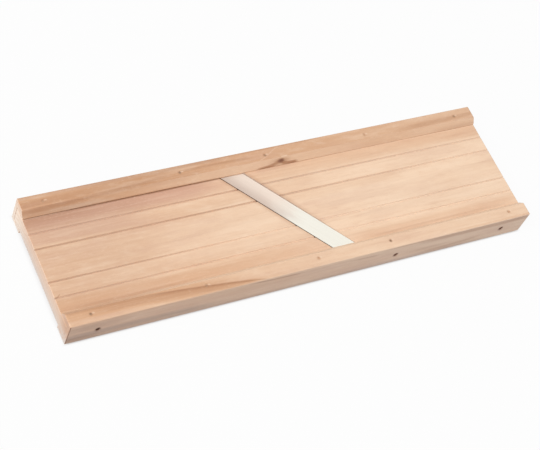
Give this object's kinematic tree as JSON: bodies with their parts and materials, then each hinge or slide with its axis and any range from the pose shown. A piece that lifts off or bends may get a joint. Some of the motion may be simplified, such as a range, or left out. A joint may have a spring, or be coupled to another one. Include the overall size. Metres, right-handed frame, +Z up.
{
  "type": "food cutter",
  "caption": "Wooden slicing board with raised side rails and one fixed diagonal blade: food slides along the grooved bed and slices fall through the mouth.",
  "frame": {"origin": "middle of the slicer's length and width, on the surface that the rails stand on", "axes": "+X along the rails from the infeed end to the outfeed end, +Y from the near rail to the far rail, +Z up"},
  "size_m": [0.4, 0.1106, 0.0242],
  "materials": {
    "rail_wood": "sanded, unvarnished",
    "bed_wood": "sanded, unvarnished",
    "blade_steel": "satin ground",
    "brad_steel": "dull wire",
    "nail_steel": "blackened"
  },
  "bodies": {
    "root": {"near_rail": "rail_wood", "far_rail": "rail_wood", "infeed_board": "bed_wood", "outfeed_board": "bed_wood", "blade": "blade_steel", "near_rail_brads": "brad_steel", "far_rail_brads": "brad_steel", "near_side_nails": "nail_steel", "far_side_nails": "nail_steel"}
  },
  "joints": []
}
